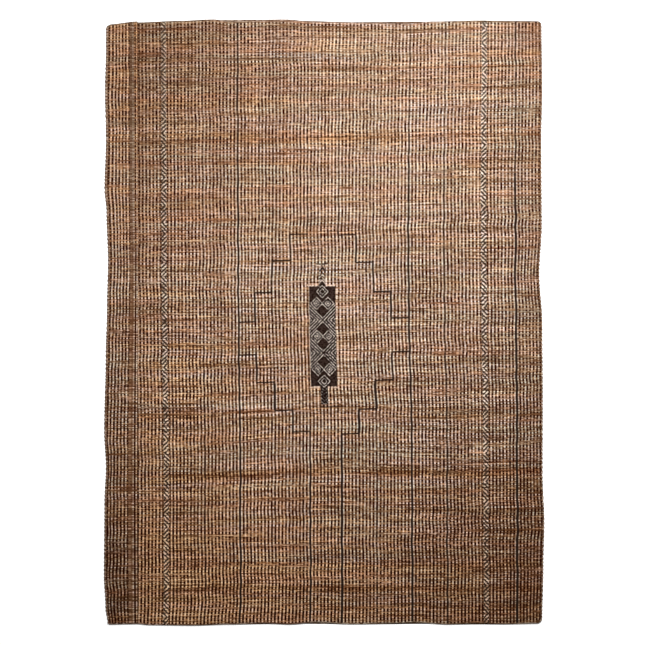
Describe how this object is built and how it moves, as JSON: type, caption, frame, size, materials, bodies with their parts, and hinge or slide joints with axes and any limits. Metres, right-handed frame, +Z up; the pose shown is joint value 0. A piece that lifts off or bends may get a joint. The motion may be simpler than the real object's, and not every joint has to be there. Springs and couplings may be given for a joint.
{
  "type": "jute rug",
  "caption": "Flat-woven ribbed jute rug with dark woven lines, a stepped diamond round a lattice panel, and a narrow strip lapped over one side. Lies on a floor.",
  "frame": {"origin": "on the floor, under the middle of the rug's box", "axes": "+X across the rug, away from the lapped strip; +Y along the ribs; +Z up, out of the rug's face"},
  "size_m": [1.7576, 2.424, 0.0085],
  "materials": {
    "jute_main": "matt handwoven jute, natural tan with dark brown design yarns",
    "jute_strip": "matt handwoven jute, natural tan with dark grooves"
  },
  "bodies": {
    "root": {"main_panel": "jute_main", "side_strip": "jute_strip"}
  },
  "joints": []
}
